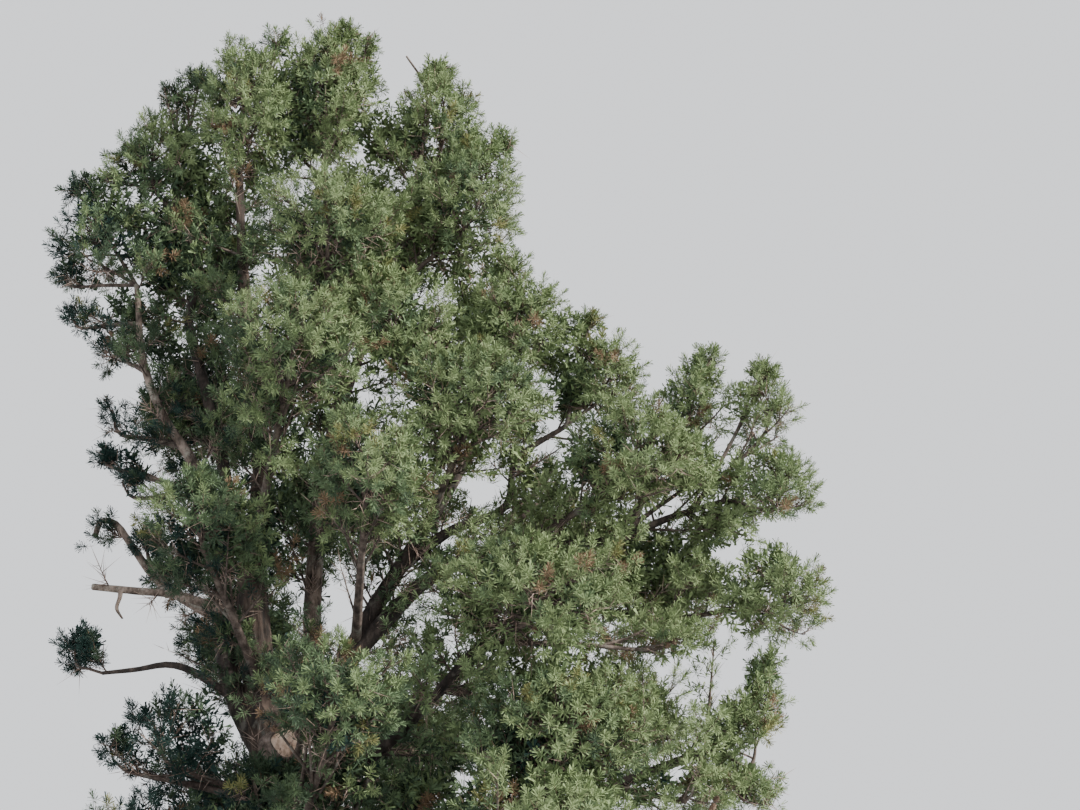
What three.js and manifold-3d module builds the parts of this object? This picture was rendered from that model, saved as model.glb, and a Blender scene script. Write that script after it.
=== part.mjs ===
// An old radiata pine that grew in the open: one thick trunk that forks low into several leaders, a
// wide crown that leans to one side, and needles held in separate masses with gaps between them.
// Millimetres, +Z up, origin at the middle of the flat cut at ground level. +X is to the right and +Y
// away from someone who looks at the tree from its sunny side.
import * as THREE from "three";
import { mergeVertices } from "three/addons/utils/BufferGeometryUtils.js";
import Module from "manifold-3d";

const wasm = await Module();
wasm.setup();

const CLEARANCE = 0.4; // between two solids that meet

// Trunk and limbs
const TRUNK_SIDES = 12;
const TRUNK_STATIONS = 18;
const FLARE_HEIGHT = 560; // height over which the root flare dies away
const FLARE_REACH = 270; // how far it stands out at the ground
const BUTTRESSES = 5;
const BUTTRESS_DEPTH = 0.4; // of the flare
const FLARE_CROWDING = 1.55; // packs the trunk's stations into the flare
const THICK = 190; // root radius from which a limb gets the first of these numbers of sides
const LIMB_SIDES = [8, 6];
const LIMB_STEP = 1100; // length of one straight stretch of a limb
const LIMB_WANE = 0.8; // under 1, a limb thins most near its root
const BOUGH_TAPER = 0.42; // tip radius of a bough as a share of its root's
const BOUGH_ENTRY = 0.72; // where it ends in its mass, as a share of the way from the middle to the edge
const BOUGH_BENDS = [0.3, 0.65, 1]; // where it bends, as shares of its length

// Stems of the masses
const STEM_SIDES = 4;
const STEM_STATIONS = 3;
const STEM_SUNK = 60; // how far a stem starts inside the tip of its limb
const STEM_RADIUS = 50; // at its limb, and so much more for each unit of its length
const STEM_TAPER = 0.011;
const STEM_FIT = 0.8; // most that a stem is thick, as a share of its limb
const STEM_TIP = 38;
const STEM_SLANT = 0.3; // it passes this far under the middle and ends as far above and beyond it

// Twigs with sprays of needles
const FEWEST_SPRAYS = 4; // in a mass, with one more for each AREA_PER_SPRAY of its surface
const AREA_PER_SPRAY = 10.4e6;
const SPRAY_SHARE = 0.74; // length of a spray of needle-clad shoots, as a share of the space between them
const SPRAY_WIDTH = 0.49; // its radius, as a share of its length
const SPRAY_SPIKES = 6; // points round the spray, every other one standing out
const SPRAY_CORE = 0.065; // radius of its core, as a share of its length
const FRONT_POINTS = 0.86; // how far along the spray its front points reach
const FRONT_WIDTH = 0.8; // how wide they spread, as a share of the back ones
const SPRAY_WAIST = 0.5; // where the core shows between the front points
const BACK_POINTS = 0.42; // how far along the spray its back points reach
const SPRAY_START = 0.12; // nearest that a spray starts to the stem, as a share of the twig
const TWIG_RADIUS = 34;
const TWIG_FEET = [0.45, 1]; // stretch of a stem that twigs leave
const FOOT_PLAY = 0.08; // share of it by which chance moves one back
const FIRST_TWIG = 0.12; // steps under the top of a mass at which its first twig ends
const LOWEST_TWIG = -0.72; // twigs leave the bottom of a mass bare, as a share of its half height
const ROOM = 40; // kept free round a spray
const PULLED_IN = [1, 0.86, 0.72]; // a spray that has no room is tried again nearer the middle
const SMOOTHING = [25, 10, 2, 0]; // small edges that joining leaves go, within the first of these that works
const AREA_POWER = 1.6; // in the surface of a body with three half sizes
const GOLDEN_ANGLE = Math.PI * (3 - Math.sqrt(5));
const SIDEWAYS = new THREE.Vector3(0.31, 0.17, 0.93); // no twig points this way

// The trunk, traced from fork to tip and finished down to the ground: where it bends, and its radius
// at each height.
const TRUNK_BENDS = [
  [0, 0, -80], [60, 20, 2600], [90, 0, 5600], [-110, -20, 8300], [-340, 0, 9400], [-640, 0, 10700],
  [-890, 0, 12500], [-830, 0, 14300], [-1060, 0, 15600], [-1420, -60, 18300], [-1620, -180, 20500],
];
const TRUNK_GIRTH = [
  [0, 610], [1300, 560], [8800, 425], [10300, 300], [12500, 235], [15600, 165], [20500, 50],
];

// Limbs that show: the limb each leaves, how far along it, where it bends, and its radius at root and tip.
const LIMBS = [
  { name: "left_leader", on: "trunk", from: 0.452, girth: [215, 55],
    bends: [[-1010, 40, 10400], [-1330, 60, 11700], [-1400, 80, 13900], [-2000, 100, 16200],
      [-2310, 120, 17300], [-2200, 150, 18300], [-2750, 200, 19500]] },
  { name: "left_fork", on: "left_leader", from: 0.4, girth: [120, 45],
    bends: [[-2120, 20, 14700], [-2560, 20, 15350], [-3000, 20, 16400], [-3250, 0, 17900]] },
  { name: "grey_leader", on: "trunk", from: 0.44, girth: [205, 55],
    bends: [[80, 420, 10500], [50, 500, 12300], [90, 500, 14000], [350, 480, 16500], [150, 440, 19000],
      [-150, 400, 20600]] },
  { name: "bare_leader", on: "grey_leader", from: 0.56, girth: [110, 22],
    bends: [[900, 600, 17700], [1400, 620, 19600], [1620, 560, 21000], [1720, 520, 21700], [1600, 500, 22500],
      [1290, 480, 23050]] },
  { name: "right_leader", on: "trunk", from: 0.462, girth: [230, 60],
    bends: [[640, -120, 10900], [1180, -140, 12000], [1620, -100, 12800], [2450, -60, 14300],
      [3150, 0, 15900]] },
  { name: "upper_right_bough", on: "right_leader", from: 0.5, girth: [120, 45],
    bends: [[2300, 160, 13350], [3220, 280, 13850], [3400, 330, 14700], [4250, 320, 15350]] },
  { name: "long_right_bough", on: "right_leader", from: 0.24, girth: [150, 42],
    bends: [[2150, -330, 12450], [3400, -200, 12880], [5100, -80, 13140], [5900, -40, 13500],
      [6900, -250, 13750]] },
  { name: "far_right_bough", on: "long_right_bough", from: 0.42, girth: [95, 38],
    bends: [[4700, 280, 12050], [5900, 330, 11900], [6900, 80, 11950]] },
  { name: "low_left_bough", on: "left_leader", from: 0.13, girth: [75, 34],
    bends: [[-1790, 0, 10920], [-2150, 0, 11010], [-2640, 0, 10930], [-3180, 0, 10870]] },
  { name: "broken_limb", on: "trunk", from: 0.575, girth: [90, 62],
    bends: [[-1560, -130, 11980], [-2120, -180, 12130], [-2800, -200, 12190], [-3420, -210, 12250]] },
  { name: "hooked_limb", on: "trunk", from: 0.56, girth: [125, 52],
    bends: [[-1750, 260, 12050], [-2450, 300, 12500], [-2900, 300, 13050], [-3300, 300, 13560],
      [-3520, 300, 13600], [-3590, 300, 13330]] },
];

// Boughs hidden in the crown, each worked out from the mass of needles that it carries. bow is how far
// its middle hangs under the straight line.
const BOUGHS = [
  { name: "front_right_bough", on: "trunk", from: 0.42, girth: 150, bow: 320, carries: "front_right" },
  { name: "low_right_bough", on: "trunk", from: 0.395, girth: 165, bow: 330, carries: "low_right_edge" },
  { name: "back_right_bough", on: "trunk", from: 0.43, girth: 150, bow: 350, carries: "back_right" },
];

// Masses of needles that show, with the far side finished like them: the limb each grows on, how far
// along it (1 is the tip), the middle of its space and the space's half sizes.
const MASSES = [
  { name: "crown_top", on: "grey_leader", from: 1, at: [-180, 400, 22050], size: [1330, 1250, 1720] },
  { name: "crown_top_left", on: "trunk", from: 1, at: [-1560, -250, 21300], size: [1100, 1150, 1700] },
  { name: "second_top", on: "bare_leader", from: 0.62, at: [1960, 600, 21450], size: [930, 850, 1430] },
  { name: "high_right_shoulder", on: "bare_leader", from: 0.32, at: [2480, 200, 19620], size: [1150, 1200, 1480] },
  { name: "left_shoulder", on: "left_leader", from: 1, at: [-3130, 200, 20300], size: [1250, 1100, 1250] },
  { name: "left_edge", on: "left_fork", from: 1, at: [-3900, 0, 18650], size: [1000, 1050, 1150] },
  { name: "upper_front", on: "grey_leader", from: 0.6, at: [250, -1650, 18100], size: [1600, 1250, 1150] },
  { name: "left_mid", on: "left_fork", from: 0.66, at: [-3400, 500, 16950], size: [950, 1000, 950] },
  { name: "left_wisp", on: "left_fork", from: 0.35, at: [-3380, 350, 15450], size: [570, 600, 760] },
  { name: "left_low_wisp", on: "left_fork", from: 0.14, at: [-3050, 250, 14150], size: [650, 600, 460] },
  { name: "centre_front", on: "trunk", from: 0.64, at: [-100, -2600, 15500], size: [1450, 1150, 1250] },
  { name: "right_crest", on: "right_leader", from: 1, at: [3450, 0, 16900], size: [1150, 1200, 1150] },
  { name: "right_step", on: "upper_right_bough", from: 1, at: [4800, 300, 16100], size: [1000, 1100, 1000] },
  { name: "right_inner", on: "right_leader", from: 0.62, at: [2720, -1750, 14920], size: [1530, 1150, 1080] },
  { name: "spire_left", on: "long_right_bough", from: 0.72, at: [6480, 600, 15900], size: [780, 950, 1050] },
  { name: "spire_right", on: "long_right_bough", from: 0.9, at: [7580, 0, 15350], size: [640, 850, 1000] },
  { name: "right_mid", on: "long_right_bough", from: 0.5, at: [5350, -1250, 14150], size: [1350, 1150, 1050] },
  { name: "right_edge", on: "long_right_bough", from: 1, at: [7600, -400, 13750], size: [900, 950, 880] },
  { name: "far_right", on: "far_right_bough", from: 1, at: [7620, -200, 12050], size: [980, 1050, 880] },
  { name: "front_right", on: "front_right_bough", from: 1, at: [3650, -2750, 11150], size: [2050, 1150, 1120] },
  { name: "front_mid", on: "right_leader", from: 0.3, at: [1200, -3050, 13050], size: [1280, 1050, 1050] },
  { name: "front_left", on: "trunk", from: 0.52, at: [-1350, -2350, 12550], size: [1200, 1050, 950] },
  { name: "left_tuft", on: "low_left_bough", from: 1, at: [-3600, 0, 11150], size: [510, 560, 490] },
  { name: "left_low", on: "trunk", from: 0.425, at: [-1950, -350, 9650], size: [950, 1050, 1080] },
  { name: "front_low", on: "trunk", from: 0.37, at: [900, -3530, 9400], size: [1330, 1050, 1060] },
  { name: "low_right", on: "low_right_bough", from: 0.6, at: [4050, -2450, 9250], size: [2050, 1200, 1120] },
  { name: "low_right_edge", on: "low_right_bough", from: 1, at: [7050, -250, 9700], size: [860, 1050, 1400] },
  { name: "high_inner", on: "left_leader", from: 0.86, at: [-2400, 900, 18950], size: [1350, 1150, 1400] },
  { name: "centre", on: "right_leader", from: 0.78, at: [1430, -1350, 16500], size: [1200, 1100, 1080] },
  { name: "right_low_mid", on: "far_right_bough", from: 0.55, at: [5900, 900, 12700], size: [1350, 1050, 1200] },
  { name: "back_top", on: "grey_leader", from: 0.72, at: [700, 2050, 20000], size: [1550, 1250, 1600] },
  { name: "back_high_right", on: "bare_leader", from: 0.25, at: [2550, 1700, 17900], size: [1300, 1150, 1200] },
  { name: "back_left", on: "left_leader", from: 0.52, at: [-2350, 2400, 16600], size: [1700, 1450, 1550] },
  { name: "back_centre", on: "grey_leader", from: 0.4, at: [200, 3200, 15200], size: [1850, 1400, 1500] },
  { name: "back_right", on: "back_right_bough", from: 1, at: [4300, 3000, 13750], size: [1850, 1450, 1500] },
  { name: "back_low_left", on: "trunk", from: 0.5, at: [-1300, 3200, 12500], size: [1800, 1400, 1400] },
  { name: "back_low", on: "trunk", from: 0.45, at: [1600, 4000, 10900], size: [1750, 1400, 1400] },
  { name: "back_low_right", on: "back_right_bough", from: 0.6, at: [5000, 2900, 10900], size: [1800, 1400, 1450] },
  { name: "back_lowest", on: "trunk", from: 0.38, at: [-1500, 2700, 9300], size: [1500, 1350, 1200] },
];

// The lowest tier, under what the photograph shows: masses round the trunk, every other one higher.
const LOW_TIER = {
  count: 6, centre: [1350, 0], reach: [3850, 3500], height: 6600, rise: 1100, firstHeading: 10,
  from: [0.28, 0.33], size: [1850, 1650, 1250],
};

const vector = ([x, y, z]) => new THREE.Vector3(x, y, z);

// A repeatable number from 0 to 1 for a piece and a draw.
function chance(piece, draw) {
  const s = Math.sin(piece * 12.9898 + draw * 78.233) * 43758.5453;
  return s - Math.floor(s);
}

// The value at x of a table of [x, value] pairs.
function lookUp(table, x) {
  const last = table.length - 1;
  const i = Math.min(last - 1, Math.max(0, table.findIndex(([at]) => at > x) - 1));
  const k = x >= table[last][0] ? last - 1 : i;
  const [x0, y0] = table[k];
  const [x1, y1] = table[k + 1];
  return y0 + (y1 - y0) * Math.min(1, Math.max(0, (x - x0) / (x1 - x0)));
}

// A closed three.js geometry as a solid that can be joined and cut.
function solidOf(geometry) {
  geometry.deleteAttribute("normal");
  geometry.deleteAttribute("uv");
  const merged = mergeVertices(geometry, 1e-3);
  return new wasm.Manifold(new wasm.Mesh({
    numProp: 3,
    vertProperties: new Float32Array(merged.attributes.position.array),
    triVerts: new Uint32Array(merged.index.array),
  }));
}

function geometryOf(solid) {
  const mesh = solid.getMesh();
  const points = new Float32Array(mesh.numVert * 3);
  for (let i = 0; i < mesh.numVert; i++)
    points.set(mesh.vertProperties.subarray(i * mesh.numProp, i * mesh.numProp + 3), i * 3);
  return new THREE.BufferGeometry()
    .setAttribute("position", new THREE.BufferAttribute(points, 3))
    .setIndex(new THREE.BufferAttribute(new Uint32Array(mesh.triVerts), 1));
}

// The biggest piece of a solid, without the scraps that a cut leaves.
function biggest(solid) {
  return solid.decompose().reduce((a, b) => (b.volume() > a.volume() ? b : a));
}

// A round limb: a cylinder bent along a path, with its own radius at each place. grow makes it that much
// bigger all over, ends too.
function bentLimb({ path, radiusAt, sides, stations, grow = 0 }) {
  const geometry = new THREE.CylinderGeometry(1, 1, 1, sides, stations);
  const position = geometry.attributes.position;
  const across = path.getPoint(1).sub(path.getPoint(0)).setZ(0).normalize();
  const side = new THREE.Vector3(-across.y, across.x, 0);
  const point = new THREE.Vector3();
  for (let i = 0; i < position.count; i++) {
    point.fromBufferAttribute(position, i);
    const along = path.warp ? path.warp(point.y + 0.5) : point.y + 0.5;
    const tangent = path.getTangentAt(along);
    const out = side.clone().addScaledVector(tangent, -side.dot(tangent)).normalize();
    const up = tangent.clone().cross(out);
    const ring = Math.hypot(point.x, point.z);
    const angle = Math.atan2(point.z, point.x);
    const radius = ring * (radiusAt(along, angle) + grow);
    const end = along === 0 ? -grow : along === 1 ? grow : 0;
    const at = path.getPointAt(along)
      .addScaledVector(out, radius * Math.cos(angle))
      .addScaledVector(up, -radius * Math.sin(angle))
      .addScaledVector(tangent, end);
    position.setXYZ(i, at.x, at.y, at.z);
  }
  return solidOf(geometry);
}

// Each limb by name, with its path, its radiusAt, its solid, and clear: the solid with the clearance
// round it.
const limbs = new Map();

function addLimb(name, shape) {
  let solid = bentLimb(shape).trimByPlane([0, 0, 1], 0);
  for (const other of limbs.values()) solid = solid.subtract(other.clear);
  limbs.set(name, { ...shape, solid: biggest(solid), clear: bentLimb({ ...shape, grow: CLEARANCE }) });
}

function makeTrunk() {
  const path = new THREE.CatmullRomCurve3(TRUNK_BENDS.map(vector));
  path.warp = (share) => share ** FLARE_CROWDING;
  const radiusAt = (along, angle) => {
    const height = path.getPointAt(along).z;
    const lobes = 1 + BUTTRESS_DEPTH * Math.cos(BUTTRESSES * angle);
    return lookUp(TRUNK_GIRTH, height) + FLARE_REACH * Math.exp(-height / FLARE_HEIGHT) * lobes;
  };
  addLimb("trunk", { path, radiusAt, sides: TRUNK_SIDES, stations: TRUNK_STATIONS });
}

function makeLimb({ name, on, from, bends, girth: [root, tip] }) {
  const foot = limbs.get(on).path.getPointAt(from);
  const path = new THREE.CatmullRomCurve3([foot, ...bends.map(vector)]);
  const radiusAt = (along) => root + (tip - root) * along ** LIMB_WANE;
  const sides = root > THICK ? LIMB_SIDES[0] : LIMB_SIDES[1];
  addLimb(name, { path, radiusAt, sides, stations: Math.ceil(path.getLength() / LIMB_STEP) });
}

// The path of a bough from its limb to where it enters its mass, hanging under the straight line.
function boughBends(foot, mass, bow) {
  const centre = vector(mass.at);
  const inward = foot.clone().sub(centre);
  const depth = Math.hypot(inward.x / mass.size[0], inward.y / mass.size[1], inward.z / mass.size[2]);
  const entry = centre.clone().addScaledVector(inward, BOUGH_ENTRY / depth);
  return BOUGH_BENDS.map((share) => {
    const hang = 4 * bow * share * (1 - share);
    return foot.clone().lerp(entry, share).add(new THREE.Vector3(0, 0, -hang)).toArray();
  });
}

function makeBough({ name, on, from, girth, bow, carries }) {
  const mass = MASSES.find((m) => m.name === carries);
  const foot = limbs.get(on).path.getPointAt(from);
  makeLimb({ name, on, from, girth: [girth, girth * BOUGH_TAPER], bends: boughBends(foot, mass, bow) });
}

// The lowest tier's masses, by one rule.
function lowTier() {
  return Array.from({ length: LOW_TIER.count }, (_, i) => {
    const heading = THREE.MathUtils.degToRad(LOW_TIER.firstHeading + (360 / LOW_TIER.count) * i);
    const high = i % 2;
    const at = [
      LOW_TIER.centre[0] + LOW_TIER.reach[0] * Math.cos(heading),
      LOW_TIER.centre[1] + LOW_TIER.reach[1] * Math.sin(heading),
      LOW_TIER.height + LOW_TIER.rise * high,
    ];
    return { name: `low_tier_${i + 1}`, on: "trunk", from: LOW_TIER.from[high], at, size: LOW_TIER.size };
  });
}

// The stem of a mass: from its limb, low through the middle of the space, to near its far side.
function stemPath(mass) {
  const host = limbs.get(mass.on);
  const foot = host.path.getPointAt(mass.from);
  const centre = vector(mass.at);
  const sunk = mass.from === 1 ? STEM_SUNK : 0;
  const start = foot.clone().addScaledVector(host.path.getTangentAt(mass.from), -sunk);
  const level = centre.clone().sub(foot).setZ(0).clampLength(0, 1);
  const slant = new THREE.Vector3(0, 0, STEM_SLANT * mass.size[2]);
  const low = centre.clone().sub(slant);
  const beyond = STEM_SLANT * Math.min(mass.size[0], mass.size[1]);
  const end = centre.clone().add(slant).addScaledVector(level, beyond);
  return new THREE.CatmullRomCurve3([start, foot.clone().lerp(low, 0.5), low, end]);
}

// One twig with its spray of needles: a slim core that points stand out of, three swept forward near the
// tip and three further back, turned between them. Its foot is sunk in the stem. room makes it bigger, to
// test whether it stays clear of its neighbours.
function twigWithSpray(foot, tip, spray, room = 0) {
  const geometry = new THREE.SphereGeometry(1, SPRAY_SPIKES, 3);
  const position = geometry.attributes.position;
  const axis = tip.clone().sub(foot);
  const reach = axis.length() + room;
  axis.normalize();
  const out = SIDEWAYS.clone().cross(axis).normalize();
  const up = axis.clone().cross(out);
  const start = Math.max(reach - spray, SPRAY_START * reach);
  const length = reach - start;
  const width = SPRAY_WIDTH * spray + room;
  const core = SPRAY_CORE * spray + room;
  const point = new THREE.Vector3();
  for (let i = 0; i < position.count; i++) {
    point.fromBufferAttribute(position, i);
    const ring = Math.round((Math.acos(point.y) * 3) / Math.PI); // 0 is the tip, 3 the end in the stem
    const angle = Math.atan2(point.z, point.x);
    const standsOut = (Math.round((angle * SPRAY_SPIKES) / (2 * Math.PI)) + ring) % 2 === 0;
    const [along, radius] = {
      0: [reach, 0],
      1: standsOut
        ? [start + FRONT_POINTS * length, FRONT_WIDTH * width]
        : [start + SPRAY_WAIST * length, core],
      2: standsOut ? [start + BACK_POINTS * length, width] : [0, TWIG_RADIUS],
      3: [-TWIG_RADIUS, 0],
    }[ring];
    const at = foot.clone()
      .addScaledVector(axis, along)
      .addScaledVector(out, radius * Math.cos(angle))
      .addScaledVector(up, -radius * Math.sin(angle));
    position.setXYZ(i, at.x, at.y, at.z);
  }
  return solidOf(geometry);
}

// The tips of a mass's twigs, spread evenly over its space but for its bottom, and the length of a spray.
function twigTips(mass, seed) {
  const [x, y, z] = mass.size;
  const sides = (x * y) ** AREA_POWER + (x * z) ** AREA_POWER + (y * z) ** AREA_POWER;
  const area = 4 * Math.PI * (sides / 3) ** (1 / AREA_POWER);
  const count = Math.round(FEWEST_SPRAYS + area / AREA_PER_SPRAY);
  const tips = [];
  for (let i = 0; i < count; i++) {
    const height = 1 - ((1 - LOWEST_TWIG) * (i + FIRST_TWIG)) / count;
    const ring = Math.sqrt(1 - height * height);
    const angle = i * GOLDEN_ANGLE + seed;
    const tip = new THREE.Vector3(x * ring * Math.cos(angle), y * ring * Math.sin(angle), z * height);
    tips.push(tip.add(vector(mass.at)));
  }
  return { tips, spray: SPRAY_SHARE * Math.sqrt(area / count) };
}

function meets(solid, others) {
  const box = solid.boundingBox();
  return others.some((other) => {
    const b = other.boundingBox();
    const apart = [0, 1, 2].some((k) => b.min[k] > box.max[k] || b.max[k] < box.min[k]);
    return !apart && solid.intersect(other).volume() > 0;
  });
}

// Whether each edge belongs to just two faces, leaving out faces too small to have three corners.
function isSound(solid) {
  const { position } = geometryOf(solid).attributes;
  const index = solid.getMesh().triVerts;
  const place = (i) => [position.getX(i), position.getY(i), position.getZ(i)].map((v) => v.toFixed(3)).join();
  const uses = new Map();
  for (let i = 0; i < index.length; i += 3) {
    const corners = [place(index[i]), place(index[i + 1]), place(index[i + 2])];
    if (new Set(corners).size < 3) continue;
    corners.forEach((corner, k) => {
      const edge = [corner, corners[(k + 1) % 3]].sort().join(";");
      uses.set(edge, (uses.get(edge) ?? 0) + 1);
    });
  }
  return [...uses.values()].every((count) => count === 2);
}

// A mass joined from its pieces, with fewer small faces, cut clear of every limb.
function finishMass(pieces) {
  const joined = wasm.Manifold.union(pieces).asOriginal();
  for (const most of SMOOTHING) {
    let solid = joined.simplify(most);
    for (const limb of limbs.values()) solid = solid.subtract(limb.clear);
    solid = biggest(solid);
    if (isSound(solid)) return solid;
  }
  throw new Error("a mass has an edge that more than two faces share");
}

const grown = []; // every mass made so far

// Where a twig leaves its stem: further out, the more the twig points the way that the stem goes.
function twigFoot(path, outward, jitter) {
  const ahead = 0.5 + 0.5 * outward.dot(path.getTangentAt(0.8));
  const [first, last] = TWIG_FEET;
  return path.getPointAt((first + (last - first) * ahead) * (1 - FOOT_PLAY * (1 - jitter)));
}

function growMass(mass, seed) {
  const host = limbs.get(mass.on);
  const path = stemPath(mass);
  const wanted = STEM_RADIUS + STEM_TAPER * path.getLength();
  const root = Math.min(STEM_FIT * host.radiusAt(mass.from, 0), wanted);
  const radiusAt = (along) => root - (root - STEM_TIP) * along;
  const pieces = [bentLimb({ path, radiusAt, sides: STEM_SIDES, stations: STEM_STATIONS })];
  const obstacles = [...[...limbs.values()].map((limb) => limb.clear), ...grown];
  const { tips, spray } = twigTips(mass, seed);
  const centre = vector(mass.at);
  tips.forEach((tip, i) => {
    const foot = twigFoot(path, tip.clone().sub(centre).normalize(), chance(seed, i));
    const fits = (end) => !meets(twigWithSpray(foot, end, spray, ROOM), obstacles);
    const end = PULLED_IN.map((share) => centre.clone().lerp(tip, share)).find(fits);
    if (end) pieces.push(twigWithSpray(foot, end, spray));
  });
  const solid = finishMass(pieces);
  grown.push(solid);
  return solid;
}

const DARK_BARK = { color: 0x6e5f55, roughness: 0.95, metalness: 0 };
const PALE_BARK = { color: 0x9a8a80, roughness: 0.95, metalness: 0 };
const NEEDLES = { color: 0x5d7038, roughness: 0.7, metalness: 0 };

function meshOf(name, solid, look) {
  const mesh = new THREE.Mesh(geometryOf(solid), new THREE.MeshStandardMaterial(look));
  mesh.name = name;
  return mesh;
}

function makeTree() {
  const tree = new THREE.Group();
  makeTrunk();
  LIMBS.forEach(makeLimb);
  BOUGHS.forEach(makeBough);
  for (const [name, { solid }] of limbs) {
    const bark = name === "trunk" ? DARK_BARK : PALE_BARK;
    tree.add(meshOf(name, solid, bark));
  }
  [...MASSES, ...lowTier()].forEach((mass, i) => {
    tree.add(meshOf(mass.name, growMass(mass, i), NEEDLES));
  });
  return tree;
}

const tree = makeTree();
export default tree;
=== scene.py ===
import math

import bpy
import numpy as np
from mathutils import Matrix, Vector
from numpy.linalg import norm


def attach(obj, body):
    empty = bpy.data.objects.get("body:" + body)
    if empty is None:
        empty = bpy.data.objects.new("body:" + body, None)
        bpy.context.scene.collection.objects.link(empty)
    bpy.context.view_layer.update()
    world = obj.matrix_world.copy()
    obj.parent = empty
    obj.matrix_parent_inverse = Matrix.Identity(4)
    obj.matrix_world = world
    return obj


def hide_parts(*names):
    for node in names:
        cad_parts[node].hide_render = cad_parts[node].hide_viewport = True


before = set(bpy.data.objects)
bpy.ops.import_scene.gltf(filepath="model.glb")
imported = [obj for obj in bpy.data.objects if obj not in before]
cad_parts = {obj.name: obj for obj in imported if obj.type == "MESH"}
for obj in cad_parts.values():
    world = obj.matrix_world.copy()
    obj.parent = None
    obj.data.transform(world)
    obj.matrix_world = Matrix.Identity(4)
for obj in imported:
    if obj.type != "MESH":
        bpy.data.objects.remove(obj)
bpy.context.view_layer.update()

GOLDEN_ANGLE = math.pi * (3 - math.sqrt(5))
UP = np.array([0, 0, 1])
LEVEL = np.array([1, 1, 0])
TO_SUN = np.array([0.82, -0.34, 0.47])
SUNWARD = TO_SUN / norm(TO_SUN)

# The trunk's bends, and its radius at each height
TRUNK_BENDS = [
    (0, 0, -0.08), (0.06, 0.02, 2.6), (0.09, 0, 5.6), (-0.11, -0.02, 8.3), (-0.34, 0, 9.4), (-0.64, 0, 10.7),
    (-0.89, 0, 12.5), (-0.83, 0, 14.3), (-1.06, 0, 15.6), (-1.42, -0.06, 18.3), (-1.62, -0.18, 20.5),
]
TRUNK_GIRTH = [(0, 0.61), (1.3, 0.56), (8.8, 0.425), (10.3, 0.3), (12.5, 0.235), (15.6, 0.165), (20.5, 0.05)]
FLARE_HEIGHT = 0.56
FLARE_REACH = 0.27
BUTTRESSES = 5
BUTTRESS_DEPTH = 0.4

# Limbs as in the source: name, the limb it leaves, how far along it, radius at root and tip, bends
LIMBS = [
    ("left_leader", "trunk", 0.452, (0.215, 0.055),
     [(-1.01, 0.04, 10.4), (-1.33, 0.06, 11.7), (-1.4, 0.08, 13.9), (-2.0, 0.1, 16.2), (-2.31, 0.12, 17.3),
      (-2.2, 0.15, 18.3), (-2.75, 0.2, 19.5)]),
    ("left_fork", "left_leader", 0.4, (0.12, 0.045),
     [(-2.12, 0.02, 14.7), (-2.56, 0.02, 15.35), (-3.0, 0.02, 16.4), (-3.25, 0, 17.9)]),
    ("grey_leader", "trunk", 0.44, (0.205, 0.055),
     [(0.08, 0.42, 10.5), (0.05, 0.5, 12.3), (0.09, 0.5, 14.0), (0.35, 0.48, 16.5), (0.15, 0.44, 19.0),
      (-0.15, 0.4, 20.6)]),
    ("bare_leader", "grey_leader", 0.56, (0.11, 0.022),
     [(0.9, 0.6, 17.7), (1.4, 0.62, 19.6), (1.62, 0.56, 21.0), (1.72, 0.52, 21.7), (1.6, 0.5, 22.5),
      (1.29, 0.48, 23.05)]),
    ("right_leader", "trunk", 0.462, (0.23, 0.06),
     [(0.64, -0.12, 10.9), (1.18, -0.14, 12.0), (1.62, -0.1, 12.8), (2.45, -0.06, 14.3), (3.15, 0, 15.9)]),
    ("upper_right_bough", "right_leader", 0.5, (0.12, 0.045),
     [(2.3, 0.16, 13.35), (3.22, 0.28, 13.85), (3.4, 0.33, 14.7), (4.25, 0.32, 15.35)]),
    ("long_right_bough", "right_leader", 0.24, (0.15, 0.042),
     [(2.15, -0.33, 12.45), (3.4, -0.2, 12.88), (5.1, -0.08, 13.14), (5.9, -0.04, 13.5),
      (6.9, -0.25, 13.75)]),
    ("far_right_bough", "long_right_bough", 0.42, (0.095, 0.038),
     [(4.7, 0.28, 12.05), (5.9, 0.33, 11.9), (6.9, 0.08, 11.95)]),
    ("low_left_bough", "left_leader", 0.13, (0.075, 0.034),
     [(-1.79, 0, 10.92), (-2.15, 0, 11.01), (-2.64, 0, 10.93), (-3.18, 0, 10.87)]),
    ("broken_limb", "trunk", 0.575, (0.09, 0.062),
     [(-1.56, -0.13, 11.98), (-2.12, -0.18, 12.13), (-2.8, -0.2, 12.19), (-3.42, -0.21, 12.25)]),
    ("hooked_limb", "trunk", 0.56, (0.125, 0.052),
     [(-1.75, 0.26, 12.05), (-2.45, 0.3, 12.5), (-2.9, 0.3, 13.05), (-3.3, 0.3, 13.56), (-3.52, 0.3, 13.6),
      (-3.59, 0.3, 13.33)]),
]
TAPER_POWER = 0.8

# Boughs worked out from the mass that each carries: name, host, how far along it, root radius, hang, mass
BOUGHS = [
    ("front_right_bough", "trunk", 0.42, 0.15, 0.32, "front_right"),
    ("low_right_bough", "trunk", 0.395, 0.165, 0.33, "low_right_edge"),
    ("back_right_bough", "trunk", 0.43, 0.15, 0.35, "back_right"),
]
BOUGH_BENDS = (0.3, 0.65, 1)
BOUGH_TAPER = 0.42
BOUGH_ENTRY = 0.72

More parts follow.
